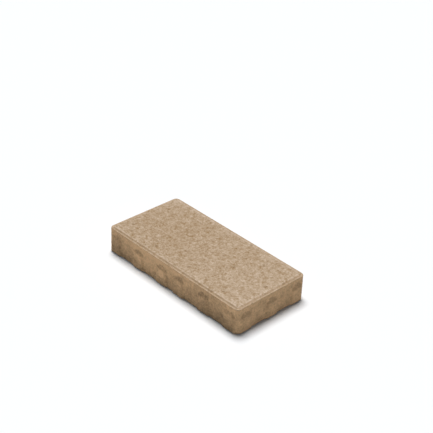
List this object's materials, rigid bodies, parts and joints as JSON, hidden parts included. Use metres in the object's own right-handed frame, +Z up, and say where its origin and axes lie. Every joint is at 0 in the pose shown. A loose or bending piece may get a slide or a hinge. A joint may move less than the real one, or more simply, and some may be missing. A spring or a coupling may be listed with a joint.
{
  "type": "concrete paving slab",
  "caption": "Rectangular pressed concrete paving slab with a chamfer and narrow ledge round its tread and spacer lugs on its sides, laid flat on a bed to make a path or terrace.",
  "frame": {"origin": "centre of the bed face, on which the slab lies", "axes": "+X along the length, +Y along the width, +Z up towards the tread face"},
  "size_m": [0.4, 0.2, 0.06],
  "materials": {
    "concrete": "matte, fine sandy grain, sand-beige with brown specks"
  },
  "bodies": {
    "root": {"paving_slab": "concrete"}
  },
  "joints": []
}
